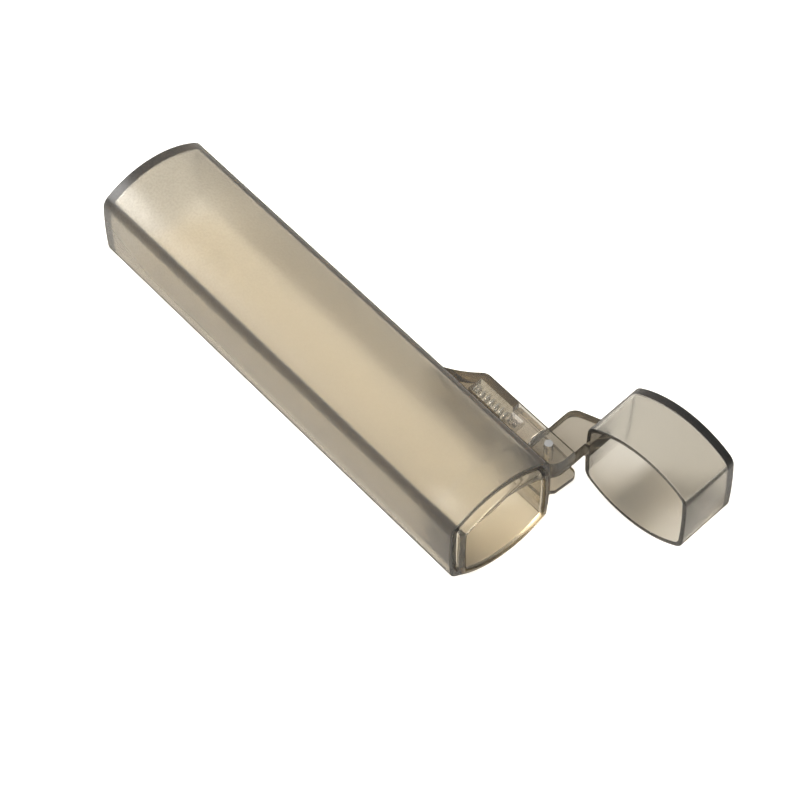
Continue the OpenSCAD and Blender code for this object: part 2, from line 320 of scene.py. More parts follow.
def skin(name, rings, matt=None, rim=None):
    """A closed skin: quads join each ring of points to the next, and a flat lid closes each end.

    matt says of each step between two rings whether its faces are matt, and a lid is as the step
    beside it. rim says of each place around the rings how much painted shade its faces get, and
    the lids get none.
    """
    rings = np.asarray(rings)
    count, around = rings.shape[:2]
    row = np.arange(count - 1)[:, None] * around
    here = np.arange(around)[None]
    after = (here + 1) % around
    quads = np.stack([row + here, row + after, row + around + after, row + around + here], -1)
    faces = quads.reshape(-1, 4).tolist()
    faces.append(np.arange(around)[::-1].tolist())
    faces.append(((count - 1) * around + np.arange(around)).tolist())
    obj = new_mesh(name, rings.reshape(-1, 3), faces)
    steps = np.zeros(count - 1, np.float32) if matt is None else np.asarray(matt, np.float32)
    values = np.concatenate([np.repeat(steps, around), steps[[0, -1]]])
    mark_faces(obj, "frost", values)
    if rim is not None:
        mark_faces(obj, "rim", np.concatenate([np.tile(rim, count - 1), [0, 0]]))
    return obj


def closed_skin(name, rings, rim):
    """A skin with a hole through it: quads join each ring to the next, and the last to the first.

    rim says of each ring how much painted shade the faces get that lead from it to the next.
    """
    rings = np.asarray(rings)
    count, around = rings.shape[:2]
    here = np.arange(around)[None]
    after = (here + 1) % around
    row = np.arange(count)[:, None] * around
    following = (row + around) % (count * around)
    quads = np.stack([row + here, row + after, following + after, following + here], -1)
    obj = new_mesh(name, rings.reshape(-1, 3), quads.reshape(-1, 4).tolist())
    mark_faces(obj, "rim", np.repeat(rim, around))
    return obj


def outward(outline):
    """Unit normals of a closed anticlockwise outline.

    Each is square to the line from the point before to the point after.
    """
    chord = np.roll(outline, -1, 0) - np.roll(outline, 1, 0)
    normal = np.column_stack([chord[:, 1], -chord[:, 0]])
    return normal / np.linalg.norm(normal, axis=1)[:, None]


def plate(name, outline, height, edge_r):
    """An outline in X and Y made a plate about Z = 0 with rounded edges.

    Each ring is the outline moved in along its normals by edge_r times one minus the sine, at a
    height that follows the cosine, so that the edges are quarter rounds. The upright edges are
    marked for painted shade, most where they face away from the camera and none facing towards it.
    """
    x, y = outline.T
    twice_area = np.sum(x * np.roll(y, -1) - y * np.roll(x, -1))
    if twice_area < 0:
        outline = outline[::-1]
    sine, rest = quarter_round(5)
    inset = np.concatenate([edge_r * (1 - sine), (edge_r * (1 - sine))[::-1]])
    low = -height / 2 + edge_r * rest
    z = np.concatenate([low, -low[::-1]])
    flat = outline[None] - inset[:, None, None] * outward(outline)[None]
    rings = np.concatenate([flat, np.broadcast_to(z[:, None, None], flat.shape[:2] + (1,))], -1)
    # Painted shade on the upright faces that face away from the camera.
    painted_shade_side = np.array([-0.77, 0.64])
    mean, gain, darkest_painted_shade = 0.45, 0.85, 0.9
    rim = np.clip(mean + gain * (outward(outline) @ painted_shade_side), 0.0, darkest_painted_shade)
    return skin(name, rings, rim=rim)


def block(name, low, high):
    """A plain box between two corners, used only to cut with."""
    low, high = np.array(low), np.array(high)
    loop = np.array([[0, 0], [1, 0], [1, 1], [0, 1]])
    rings = [np.column_stack([loop, np.full(4, k)]) * (high - low) + low for k in (0, 1)]
    return skin(name, rings)


def full_turn(count):
    """Angles spaced evenly round a circle."""
    return np.linspace(0, 2 * math.pi, count, endpoint=False)


def rod(name, centre, r, low, high):
    """A plain round rod along Z, used only to cut with: rings of radius r at its two ends."""
    t = full_turn(ROUND_STEPS)
    ring = np.column_stack([centre[0] + r * np.cos(t), centre[1] + r * np.sin(t)])
    return skin(name, [np.column_stack([ring, np.full(len(t), z)]) for z in (low, high)])


def combine(obj, other, operation):
    """Joins or cuts obj with another closed mesh, which is then removed."""
    modifier = obj.modifiers.new("combine", "BOOLEAN")
    modifier.operation = operation
    modifier.solver = "EXACT"
    modifier.object = other
    bake_modifiers(obj)
    old = other.data
    bpy.data.objects.remove(other)
    bpy.data.meshes.remove(old)


def bake_modifiers(obj):
    """Replaces a mesh by what its modifiers make of it."""
    graph = bpy.context.evaluated_depsgraph_get()
    made = bpy.data.meshes.new_from_object(obj.evaluated_get(graph))
    old = obj.data
    obj.modifiers.clear()
    obj.data = made
    bpy.data.meshes.remove(old)
    made.name = obj.name


def smooth(obj, degrees=32):
    """Smooth shading, split at edges sharper than an angle."""
    mesh = obj.data
    mesh.shade_smooth()
    mesh.set_sharp_from_angle(angle=math.radians(degrees))


def turn_open(points, s, places):
    """Turns points in X and Y about the pin, from the closed cap to the open one."""
    cosine, sine = math.cos(s.cap_open), math.sin(s.cap_open)
    points = np.array(points)
    x, y = points[..., 0] - places.pin[0], points[..., 1] - places.pin[1]
    points[..., 0] = places.pin[0] + cosine * x - sine * y
    points[..., 1] = places.pin[1] + sine * x + cosine * y
    return points


def section_rows(s, profile, side_more=0.0, r=None):
    """Rows of (place, wide inset, narrow inset, corner radius) from a profile of (place, inset).

    The narrow faces are inset by that much more. With no radius the corner shrinks with the inset.
    """
    place, inset = np.transpose(profile)
    radius = s.corner_r - inset if r is None else np.full(len(place), r)
    return np.column_stack([place, inset, inset + side_more, radius])


def tube_rings(s, rows):
    """Rings of the crowned section: ring i has row i's insets and radius, at row i's place."""
    rings = []
    for place, wide_in, side_in, r in rows:
        loop = section_loop(s, wide_in, side_in, r)
        rings.append(np.column_stack([np.full(len(loop), place), loop]))
    return np.array(rings)


def along(start, end, inset, count):
    """Evenly spaced places along X at one inset."""
    return np.column_stack([np.linspace(start, end, count), np.full(count, inset)])


# Shapes of the pieces

def case_tube(s):
    """The case's tube: closed end, side, front face, inside and the inside's end, as one profile.

    The outside and the closed end's outer half are matt.
    """
    end, edge, floor = s.end_edge_r, s.shoulder_edge_r, s.bore_end_r
    inner = 0.05 * MM
    outside = join_profile(
        rounded((0, end), (end, 0), False),
        along(end, s.case_len - edge, 0, STRAIGHT_STEPS)[1:-1],
        rounded((s.case_len - edge, 0), (s.case_len, edge), True))
    inside = join_profile(
        rounded((s.case_len, s.wall - inner), (s.case_len - inner, s.wall), False, 3),
        along(s.case_len - inner, s.end_wall + floor, s.wall, STRAIGHT_STEPS)[1:-1],
        rounded((s.end_wall + floor, s.wall), (s.end_wall, s.wall + floor), True))
    rows = np.concatenate([
        section_rows(s, outside), section_rows(s, inside, s.side_wall - s.wall, s.bore_corner_r)])
    middle = (rows[1:] + rows[:-1]) / 2
    matt = (middle[:, 1] < s.wall / 2) | (middle[:, 0] < s.end_wall / 2)
    return skin("case_shell", tube_rings(s, rows), matt)


def collar_ring(s):
    """The neck collar: its plug, its seat and rounded rim, and its inside, as one closed profile.

    The inner rounding of its rim is marked for painted shade.
    """
    back = s.case_len - s.collar_len
    seat = s.case_len + s.collar_gap
    tip = s.case_len + s.neck_len
    plug = s.wall + s.collar_gap
    inside = s.neck_step + s.collar_wall
    rim, mouth, edge = s.rim_edge_r, s.mouth_edge_r, 0.1 * MM
    in_case = join_profile(
        rounded((back, plug + edge), (back + edge, plug), False, 3),
        (seat, plug))
    neck = join_profile(
        (seat, s.neck_step),
        rounded((tip - rim, s.neck_step), (tip, s.neck_step + rim), True))
    hole = join_profile(
        rounded((tip, inside - mouth), (tip - mouth, inside), False),
        rounded((back + edge, inside), (back, inside - edge), True, 3))
    rows = np.concatenate([
        section_rows(s, in_case, s.side_wall - s.wall, s.bore_corner_r),
        section_rows(s, neck, 0.0, s.bore_corner_r),
        section_rows(s, hole, 0.0, s.collar_corner_r)])
    # Painted shade: the faces of the rim's inner rounding are marked to be darkened by the coat.
    near_tip = rows[:, 0] > tip - mouth - s.mouth_gap
    lip = near_tip & (rows[:, 1] > inside - mouth * 1.01)
    return closed_skin("collar", tube_rings(s, rows), lip & np.roll(lip, -1))


def fin_outline(s, p):
    """The housing and ears from above: hollow ramp, filleted corner, straight edge and nose.

    The ramp is an arc below the chord between its foot and its top. The fillet at its top is a
    circle that touches the ramp's circle from inside the plastic and the straight edge. The nose
    ends on a circle about the pin, which the closing cap clears.
    """
    foot = np.array([p.spring_back - s.ramp_len, p.side_y])
    top = np.array([p.spring_back, p.fin_y])
    chord = np.linalg.norm(top - foot)
    ramp_r = arc_r(chord, s.ramp_sag)
    normal = np.array([foot[1] - top[1], top[0] - foot[0]]) / chord
    centre = (top + foot) / 2 + normal * (ramp_r - s.ramp_sag)
    fillet_y = p.fin_y - s.ramp_top_r
    fillet_x = centre[0] + math.sqrt((ramp_r + s.ramp_top_r) ** 2 - (fillet_y - centre[1]) ** 2)
    fillet = np.array([fillet_x, fillet_y])
    meet = math.atan2(*(fillet - centre)[::-1])
    start = math.atan2(*(foot - centre)[::-1])
    nose_x = s.case_len + s.ear_nose - s.ear_nose_r
    nose_y = p.fin_y - s.ear_nose_r
    clear_y = p.side_y + s.swing_gap
    clear_r = math.hypot(s.pin_back + s.mouth_gap, s.pin_out) - s.swing_gap
    low = math.asin((clear_y - p.pin[1]) / clear_r)
    high = -math.acos((s.case_len + s.ear_nose - p.pin[0]) / clear_r)
    return np.concatenate([
        [[foot[0], p.root_y]],
        arc(centre, ramp_r, start, meet, 24),
        arc(fillet, s.ramp_top_r, meet + math.pi, math.pi / 2, 8)[1:],
        arc((nose_x, nose_y), s.ear_nose_r, math.pi / 2, 0, 12),
        arc(p.pin, clear_r, high, low, 6),
        [[s.case_len, clear_y], [s.case_len, p.root_y]]])


def arm_outline(s, p):
    """The knuckle and arm from above, with the cap closed.

    The knuckle is a lobe about the pin cut by two flats, the arm's back follows the circle that
    clears the case, and its front leans back from the foot to a rounded corner. The foot sinks a
    little into the cap's narrow wall, so that the two skins cross and don't only touch.
    """
    swing_r = s.pin_out - s.swing_gap
    lobe_r = s.cam_flat + s.cam_lift
    half = math.asin(s.cam_flat / lobe_r)
    mouth = s.pin_back + s.mouth_gap
    sink = 0.01 * MM
    foot = np.array([mouth + s.arm_foot, -s.pin_out - sink])
    sunk_y = -s.pin_out - s.cap_wall / 2
    corner_x = foot[0] - (s.cam_flat - foot[1]) * math.tan(s.arm_lean)
    back_from_corner = s.arm_corner_r * math.tan((math.pi / 2 - s.arm_lean) / 2)
    centre = np.array([corner_x - back_from_corner, s.cam_flat - s.arm_corner_r])
    outline = np.concatenate([
        [[mouth, -swing_r], [mouth, sunk_y], [foot[0], sunk_y], foot],
        arc(centre, s.arm_corner_r, s.arm_lean, math.pi / 2, 14),
        [[-lobe_r * math.cos(half), s.cam_flat]],
        arc((0, 0), lobe_r, math.pi - half, math.pi / 2 + half, 8),
        [[-s.cam_flat, -math.sqrt(swing_r ** 2 - s.cam_flat ** 2)]],
        arc((0, 0), swing_r, math.pi + math.acos(s.cam_flat / swing_r), 1.5 * math.pi, 10)])
    return outline + p.pin


def cap_cup(s, p):
    """The cap's cup, built closed and turned open: flat end, side, lip, inside and its end.

    The outside and the flat end's outer half are matt.
    """
    mouth = s.case_len + s.mouth_gap
    end = mouth + s.cap_len
    floor = end - s.cap_end_wall
    edge, lip, inner = s.cap_edge_r, s.lip_edge_r, s.cap_edge_r
    profile = join_profile(
        rounded((end, edge), (end - edge, 0), False),
        rounded((mouth + lip, 0), (mouth, lip), True),
        rounded((mouth, s.cap_wall - lip), (mouth + lip, s.cap_wall), False),
        rounded((floor - inner, s.cap_wall), (floor, s.cap_wall + inner), True))
    middle = (profile[1:] + profile[:-1]) / 2
    matt = (middle[:, 1] < s.cap_wall / 2) | (middle[:, 0] > floor + s.cap_end_wall / 2)
    return skin("cap_shell", turn_open(tube_rings(s, section_rows(s, profile)), s, p), matt)


# Materials

PLASTIC_INDEX = 1.49
# No glue is drawn in the collar's gap. With the plastic's own index a grey band showed round the
# neck, so the collar's index is lower.
COLLAR_INDEX = 1.3
# A density is per metre, so this one makes a depth colour count for 1 mm.
PER_MM = 1000
SPECULAR_TINT = (0.24, 0.24, 0.24, 1)
LAMP_LIGHT_AT_EDGES = (0.1, 0.1, 0.1, 1)
GRAIN_DEPTH = 0.01 * MM
POLISHED = 0.05
# A slant is 0 on a surface seen square on and 1 on one seen along itself. These are the slants
# from which each change sets in and at which it is complete.
# The first pair paints shade into the surface's colour, and the third paints shade with a dark
# coat.
PAINTED_EDGE_SHADE_SLANTS = (0.65, 1.0)
POLISHED_SLANTS = (0.66, 0.86)
PAINTED_SHADE_SLANTS = (0.68, 0.88)
SHADE_SLANTS = (0.6, 1.0)
STEEL_NOISE = 9000
STEEL_DARK = 0.85


def link(tree, *pairs):
    """Links sockets, given as pairs of source and target."""
    for source, target in pairs:
        tree.links.new(source, target)


def new_group(name, inputs, outputs):
    """An empty shader node group.

    Its inputs are given as (name, socket type, default) and its outputs as (name, socket type).
    """
    group = bpy.data.node_groups.new(name, "ShaderNodeTree")
    for label, kind, default in inputs:
        socket = group.interface.new_socket(label, in_out="INPUT", socket_type=kind)
        if default is not None:
            socket.default_value = default
    for label, kind in outputs:
        group.interface.new_socket(label, in_out="OUTPUT", socket_type=kind)
    return group, group.nodes.new("NodeGroupInput"), group.nodes.new("NodeGroupOutput")


def noise(tree, vector, scale, detail=3.0, roughness=0.5):
    """Noise from 0 to 1, with that many waves in a metre."""
    node = tree.nodes.new("ShaderNodeTexNoise")
    node.inputs["Scale"].default_value = scale
    node.inputs["Detail"].default_value = detail
    node.inputs["Roughness"].default_value = roughness
    tree.links.new(vector, node.inputs["Vector"])
    return node.outputs["Fac"]


def spread(tree, value, low, high, to_low, to_high):
    """Maps a value from one range to another, held at the ends."""
    node = tree.nodes.new("ShaderNodeMapRange")
    ends = {"From Min": low, "From Max": high, "To Min": to_low, "To Max": to_high}
    for name, number in ends.items():
        node.inputs[name].default_value = number
    tree.links.new(value, node.inputs["Value"])
    return node.outputs["Result"]


def math_node(tree, operation, a, b):
    """One step of arithmetic on two values, each a number or a socket."""
    node = tree.nodes.new("ShaderNodeMath")
    node.operation = operation
    for socket, value in zip(node.inputs, (a, b)):
        if isinstance(value, (int, float)):
            socket.default_value = value
        else:
            tree.links.new(value, socket)
    return node.outputs[0]


def attribute(tree, name):
    """The value that mark_faces kept under that name, or 0 where a piece has none."""
    node = tree.nodes.new("ShaderNodeAttribute")
    node.attribute_name = name
    return node.outputs["Fac"]


def colour_mix(tree, factor, first, second):
    """A colour from the first at a factor of 0 to the second at 1."""
    node = tree.nodes.new("ShaderNodeMix")
    node.data_type = "RGBA"
    node.inputs["A"].default_value = first
    node.inputs["B"].default_value = second
    tree.links.new(factor, node.inputs["Factor"])
    return node.outputs["Result"]


def moulded_skin():
    """The skin of a moulded plastic: polished or matt, with broad flow marks, grain and specks.

    The roughness goes from polished to matt and is varied a little by the flow marks. The grain
    and the dark specks are only on matt plastic, and the specks fade away from the closed end.
    """
    name = "Moulded skin"
    if name in bpy.data.node_groups:
        return bpy.data.node_groups[name]
    number = "NodeSocketFloat"
    group, inside, outside = new_group(
        name,
        [("Vector", "NodeSocketVector", None), ("Matt", number, 0.0),
         ("Polished roughness", number, POLISHED), ("Matt roughness", number, 0.3)],
        [("Roughness", number), ("Height", number), ("Specks", number)])
    vector, matt = inside.outputs["Vector"], inside.outputs["Matt"]
    polished, dull = inside.outputs["Polished roughness"], inside.outputs["Matt roughness"]
    speck_noise, flow_noise, grain_noise = 3600, 90, 5200
    darkest_speck, speck_reach, specks_beyond = 0.2, 0.03, 0.15
    place = group.nodes.new("ShaderNodeSeparateXYZ")
    specks = spread(group, noise(group, vector, speck_noise, 1), 0.35, 0.65, 0.0, darkest_speck)
    near_end = spread(group, place.outputs["X"], 0.0, speck_reach, 1.0, specks_beyond)
    specks = math_node(group, "MULTIPLY", specks, math_node(group, "MULTIPLY", near_end, matt))
    flow = spread(group, noise(group, vector, flow_noise, 2), 0.0, 1.0, 0.95, 1.05)
    grain = math_node(group, "MULTIPLY", noise(group, vector, grain_noise, 2, 0.6), matt)
    step = math_node(group, "MULTIPLY", math_node(group, "SUBTRACT", dull, polished), matt)
    rough = math_node(group, "MULTIPLY", math_node(group, "ADD", polished, step), flow)
    link(group,
         (vector, place.inputs["Vector"]),
         (rough, outside.inputs["Roughness"]),
         (grain, outside.inputs["Height"]),
         (math_node(group, "SUBTRACT", 1.0, specks), outside.inputs["Specks"]))
    return group


def smoky_plastic(name, tint, edge, depth, shade, matt=POLISHED, clear=0.95, index=PLASTIC_INDEX):
    """Clear tinted plastic: light passes its skin, and its depth darkens the light.

    Its surface goes from the tint to the dark edge tint by its slant, a painted shade where it is
    seen along itself, and matt plastic turns polished. A tinted layer that bends no light paints
    shade on the faces marked for it and on those seen along themselves.
    """
    material = bpy.data.materials.new(name)
    material.use_nodes = True
    tree = material.node_tree
    shader = tree.nodes["Principled BSDF"]
    output = tree.nodes["Material Output"]
    place = tree.nodes.new("ShaderNodeTexCoord")
    facing = tree.nodes.new("ShaderNodeLayerWeight")
    facing.inputs["Blend"].default_value = 0.5
    slant = facing.outputs["Facing"]
    # Painted shade: a dark coat over faces seen along themselves and over the faces marked rim.
    painted_shade_along = spread(tree, slant, *PAINTED_SHADE_SLANTS, 0, 1)
    painted_shade_weight = math_node(tree, "MAXIMUM", attribute(tree, "rim"), painted_shade_along)
    seen_along = spread(tree, slant, *POLISHED_SLANTS, 1, 0)
    marks = tree.nodes.new("ShaderNodeGroup")
    marks.node_tree = moulded_skin()
    marks.inputs["Polished roughness"].default_value = POLISHED
    marks.inputs["Matt roughness"].default_value = matt
    speckled = tree.nodes.new("ShaderNodeVectorMath")
    speckled.operation = "SCALE"
    bump = tree.nodes.new("ShaderNodeBump")
    bump.inputs["Strength"].default_value = 1.0
    bump.inputs["Distance"].default_value = GRAIN_DEPTH
    absorb = tree.nodes.new("ShaderNodeVolumeAbsorption")
    absorb.inputs["Color"].default_value = (*depth, 1)
    absorb.inputs["Density"].default_value = PER_MM
    shader.inputs["Coat IOR"].default_value = 1.0
    shader.inputs["Coat Tint"].default_value = (*colours().painted_shade_tint, 1)
    shader.inputs["Transmission Weight"].default_value = clear
    shader.inputs["IOR"].default_value = index
    shader.inputs["Specular Tint"].default_value = SPECULAR_TINT
    # Painted shade: the surface colour turns to the dark edge tint where the surface is seen along
    # itself.
    surface = colour_mix(tree, spread(tree, slant, *PAINTED_EDGE_SHADE_SLANTS, 0, 1), (*tint, 1), (*edge, 1))
    link(tree,
         (place.outputs["Object"], marks.inputs["Vector"]),
         (math_node(tree, "MULTIPLY", attribute(tree, "frost"), seen_along), marks.inputs["Matt"]),
         (surface, speckled.inputs[0]),
         (marks.outputs["Specks"], speckled.inputs["Scale"]),
         (speckled.outputs["Vector"], shader.inputs["Base Color"]),
         (painted_shade_weight, shader.inputs["Coat Weight"]),
         (marks.outputs["Roughness"], shader.inputs["Roughness"]),
         (marks.outputs["Height"], bump.inputs["Height"]),
         (bump.outputs["Normal"], shader.inputs["Normal"]),
         (absorb.outputs["Volume"], output.inputs["Volume"]))
    let_lamps_through(tree, shader, output, slant, shade)
    return material


def let_lamps_through(tree, shader, output, slant, shade):
    """Lamp light goes through the plastic to what is behind, and less where it grazes the skin."""
    path = tree.nodes.new("ShaderNodeLightPath")
    film = tree.nodes.new("ShaderNodeBsdfTransparent")
    mix = tree.nodes.new("ShaderNodeMixShader")
    grazing = spread(tree, slant, *SHADE_SLANTS, 0, 1)
    link(tree,
         (colour_mix(tree, grazing, (*shade, 1), LAMP_LIGHT_AT_EDGES), film.inputs["Color"]),
         (path.outputs["Is Shadow Ray"], mix.inputs[0]),
         (shader.outputs["BSDF"], mix.inputs[1]),
         (film.outputs["BSDF"], mix.inputs[2]),
         (mix.outputs["Shader"], output.inputs["Surface"]))


def bright_steel(name, tint, roughness):
    """Drawn steel: fine noise changes its roughness, and its colour a little."""
    material = bpy.data.materials.new(name)
    material.use_nodes = True
    tree = material.node_tree
    shader = tree.nodes["Principled BSDF"]
    place = tree.nodes.new("ShaderNodeTexCoord")
    grain = noise(tree, place.outputs["Object"], STEEL_NOISE, 3)
    dark = tuple(channel * STEEL_DARK for channel in tint)
    least, most = roughness * 0.7, roughness * 1.4
    shader.inputs["Metallic"].default_value = 1.0
    link(tree,
         (colour_mix(tree, grain, (*dark, 1), (*tint, 1)), shader.inputs["Base Color"]),
         (spread(tree, grain, 0.3, 0.7, least, most), shader.inputs["Roughness"]))
    return material


def dress(obj, material, body, node):
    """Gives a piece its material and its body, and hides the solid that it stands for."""
    obj.data.materials.clear()
    obj.data.materials.append(material)
    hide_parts(node)
    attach(obj, body)


# Operators

class MakeCase(bpy.types.Operator):
    """Builds the case: the crowned tube, and the housing with its slot, pocket and ears"""

    bl_idname = "toothpick_case.case"
    bl_label = "Case and spring housing"

    def execute(self, context):
        s = sizes()
        p = Places(s)
        case = case_tube(s)
        fin = plate("fin", fin_outline(s, p), p.fin_h, s.plate_edge_r)
        combine(case, fin, "UNION")
        half = p.slot_h / 2
        within_slot = half * 0.999
        through = 1 * MM
        pin_fit = 0.005 * MM
        slot = block("slot", (p.slot_back, p.side_y, -half),
                     (s.case_len + 3 * through, p.fin_y + through, half))
        combine(case, slot, "DIFFERENCE")
        pocket = block("pocket", (p.spring_back, p.spring_y - p.spring_bore / 2, -within_slot),
                       (p.slot_back + through, p.spring_y + p.spring_bore / 2, within_slot))
        combine(case, pocket, "DIFFERENCE")
        hole = rod("hole", p.pin, s.pin_d / 2 + pin_fit, -p.fin_h, p.fin_h)
        combine(case, hole, "DIFFERENCE")
        smooth(case)
        c = colours()
        plastic = smoky_plastic(
            "Smoky case plastic", c.case_tint, c.case_painted_edge_shade, c.case_depth, c.case_shade, matt=0.292)
        dress(case, plastic, "case", "case_body")
        return {"FINISHED"}


class MakeCollar(bpy.types.Operator):
    """Builds the collar that is glued into the mouth and stands proud of it as the neck"""

    bl_idname = "toothpick_case.collar"
    bl_label = "Neck collar"

    def execute(self, context):
        collar = collar_ring(sizes())
        smooth(collar)
        c = colours()
        plastic = smoky_plastic(
            "Smoky collar plastic", c.case_tint, c.case_painted_edge_shade, c.collar_depth, c.collar_shade,
            index=COLLAR_INDEX)
        dress(collar, plastic, "case", "neck_collar")
        return {"FINISHED"}


class MakeCap(bpy.types.Operator):
    """Builds the cap: its cup with the arm and the knuckle, turned open about the pin"""

    bl_idname = "toothpick_case.cap"
    bl_label = "Cap and arm"

    def execute(self, context):
        s = sizes()
        p = Places(s)
        cap = cap_cup(s, p)
        outline = turn_open(arm_outline(s, p), s, p)
        arm = plate("arm", outline, s.arm_t, s.plate_edge_r)
        combine(cap, arm, "UNION")
        pin_play = 0.05 * MM
        hole = rod("hole", p.pin, s.pin_d / 2 + pin_play, -s.arm_t, s.arm_t)
        combine(cap, hole, "DIFFERENCE")
        smooth(cap)
        c = colours()
        plastic = smoky_plastic(
            "Smoky cap plastic", c.cap_tint, c.cap_painted_edge_shade, c.cap_depth, c.cap_shade,
            matt=0.16, clear=0.97)
        dress(cap, plastic, "cap", "cap")
        return {"FINISHED"}


class MakePin(bpy.types.Operator):
    """Builds the hinge pin with its domed ends, arcs of a circle turned about the pin's axis"""

    bl_idname = "toothpick_case.pin"
    bl_label = "Hinge pin"

    def execute(self, context):
        s = sizes()
        p = Places(s)
        half = p.fin_h / 2 + s.pin_proud
        dome_r = arc_r(s.pin_d, s.pin_dome)
        reach = math.asin(s.pin_d / 2 / dome_r)
        first, steps = 0.02, 8
        t = np.linspace(first, reach, steps)
        r = np.concatenate([dome_r * np.sin(t), dome_r * np.sin(t)[::-1]])
        top = half - dome_r + dome_r * np.cos(t)
        z = np.concatenate([top, -top[::-1]])
        turn = full_turn(ROUND_STEPS)
        rings = np.stack([
            p.pin[0] + r[:, None] * np.cos(turn),
            p.pin[1] + r[:, None] * np.sin(turn),
            np.broadcast_to(z[:, None], (len(z), len(turn)))], -1)
        pin = skin("pin", rings)
        smooth(pin)
        steel = bright_steel("Pin steel", colours().steel, roughness=0.16)
        dress(pin, steel, "case", "hinge_pin")
        return {"FINISHED"}


class MakeSpring(bpy.types.Operator):
    """Builds the spring: a round wire carried along open working turns between two closed turns"""

    bl_idname = "toothpick_case.spring"
    bl_label = "Spring"

    def execute(self, context):
        s = sizes()
        p = Places(s)
        coil_r = (s.spring_d - s.wire_d) / 2
        run = s.spring_len - s.wire_d
        closed = 1.0
        steps_per_turn, eased = 28, 9
        # Along the axis a closed turn gains the wire's thickness and a working turn the pitch, and
        # a running mean eases the one into the other.
        working = (run - 2 * closed * s.wire_d) / s.spring_pitch
        total = working + 2 * closed
        t = np.linspace(0, total, int(total * steps_per_turn))
        x = np.interp(t, [0, closed, closed + working, total],
                      [0, closed * s.wire_d, run - closed * s.wire_d, run])
        x = np.convolve(np.pad(x, eased // 2, mode="edge"), np.full(eased, 1 / eased), "valid")
        angle = 2 * math.pi * t
        middle = np.column_stack([
            p.spring_back + s.wire_d / 2 + x,
            p.spring_y + coil_r * np.cos(angle),
            coil_r * np.sin(angle)])
        tangent = np.gradient(middle, axis=0)
        tangent /= np.linalg.norm(tangent, axis=1)[:, None]
        out = np.column_stack([np.zeros(len(t)), np.cos(angle), np.sin(angle)])
        side = np.cross(tangent, out)
        side /= np.linalg.norm(side, axis=1)[:, None]
        out = np.cross(side, tangent)
        wire_points = 12
        k = full_turn(wire_points)
        rings = middle[:, None] + s.wire_d / 2 * (
            np.cos(k)[None, :, None] * out[:, None] + np.sin(k)[None, :, None] * side[:, None])
        spring = skin("spring", rings)
        smooth(spring, degrees=50)
        steel = bright_steel("Spring steel", colours().wire, roughness=0.08)
        dress(spring, steel, "case", "plunger_spring")
        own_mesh(spring)
        return {"FINISHED"}


class MakePlunger(bpy.types.Operator):
    """Builds the clear plunger with the blind bore that takes the front of the spring"""

    bl_idname = "toothpick_case.plunger"
    bl_label = "Plunger"

    def execute(self, context):
        s = sizes()
        p = Places(s)
        half_h = p.slot_h / 2 - s.plunger_gap
        low_y = p.side_y + s.plunger_gap
        high_y = p.fin_y - s.plunger_gap
        edge = 0.08 * MM
        around, tiny = 64, 1e-9
        t = full_turn(around)
        cosine, sine = np.cos(t), np.sin(t)
        middle_y = (low_y + high_y) / 2
        half = np.array([(high_y - low_y) / 2, half_h])

        def box_ring(x, inset):
            """The box's outline: a direction stretched until it meets the nearer pair of sides."""
            size = half - inset
            reach = np.minimum(size[0] / np.maximum(abs(cosine), tiny),
                               size[1] / np.maximum(abs(sine), tiny))
            return np.column_stack([np.full(around, x), middle_y + reach * cosine, reach * sine])

        def bore_ring(x, r):
            """A circle about the spring's axis."""
            return np.column_stack([np.full(around, x), p.spring_y + r * cosine, r * sine])

        front, back = p.plunger_front, p.plunger_back
        bore_r = p.spring_bore / 2
        rings = [
            box_ring(front, edge), box_ring(front - edge, 0),
            box_ring(back + edge, 0), box_ring(back, edge),
            bore_ring(back, bore_r), bore_ring(back + s.plunger_bore, bore_r)]
        plunger = skin("plunger_block", rings)
        smooth(plunger)
        c = colours()
        plastic = smoky_plastic(
            "Clear plunger plastic", c.plunger_tint, c.cap_painted_edge_shade, c.plunger_depth, c.case_shade,
            clear=1.0)
        dress(plunger, plastic, "plunger", "plunger")
        return {"FINISHED"}


# The stage. Lamps are (name, place in metres, side in metres, watts), and the camera's place is in
# millimetres and its azimuth, elevation and roll are in degrees.

WHITE = (1, 1, 1, 1)
LAMPS = (("Key", (-0.45, -0.23, 0.38), 0.24, 5.1), ("Fill", (0.45, 0.35, 0.5), 0.6, 0.5))
LIT_POINT = (0.035, 0.005, 0)
CAMERA_ANGLES = (-40.088, 53.155, 0.591)
CAMERA_PLACE = (203.47, -132.70, 280.04)
SENSOR_WIDTH = 36
FOCAL_LENGTH = 137.13


class MakeStage(bpy.types.Operator):
    """Sets the stage: a pale floor, soft studio light and the camera at the photograph's angle"""

    bl_idname = "toothpick_case.stage"
    bl_label = "Stage"

    def execute(self, context):
        scene = context.scene
        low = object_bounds()[0][2]
        half = 1.5
        corners = [(-half, -half, low), (half, -half, low), (half, half, low), (-half, half, low)]
        mesh = bpy.data.meshes.new("floor")
        mesh.from_pydata(corners, [], [(0, 1, 2, 3)])
        floor = bpy.data.objects.new("floor", mesh)
        scene.collection.objects.link(floor)
        mesh.materials.append(floor_material())
        floor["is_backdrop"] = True
        add_world(scene)
        add_lamps(scene)
        add_camera(scene)
        scene.view_settings.view_transform = "Standard"
        return {"FINISHED"}


def by_ray(tree, camera, through, mirrored, other):
    """A number by kind of ray: the camera's, those through plastic, mirrored ones and the rest."""
    path = tree.nodes.new("ShaderNodeLightPath")
    kinds = {"Is Glossy Ray": mirrored, "Is Transmission Ray": through, "Is Camera Ray": camera}
    value = other
    for name, number in kinds.items():
        node = tree.nodes.new("ShaderNodeMix")
        node.data_type = "FLOAT"
        if isinstance(value, (int, float)):
            node.inputs["A"].default_value = value
        else:
            tree.links.new(value, node.inputs["A"])
        node.inputs["B"].default_value = number
        tree.links.new(path.outputs[name], node.inputs["Factor"])
        value = node.outputs["Result"]
    return value


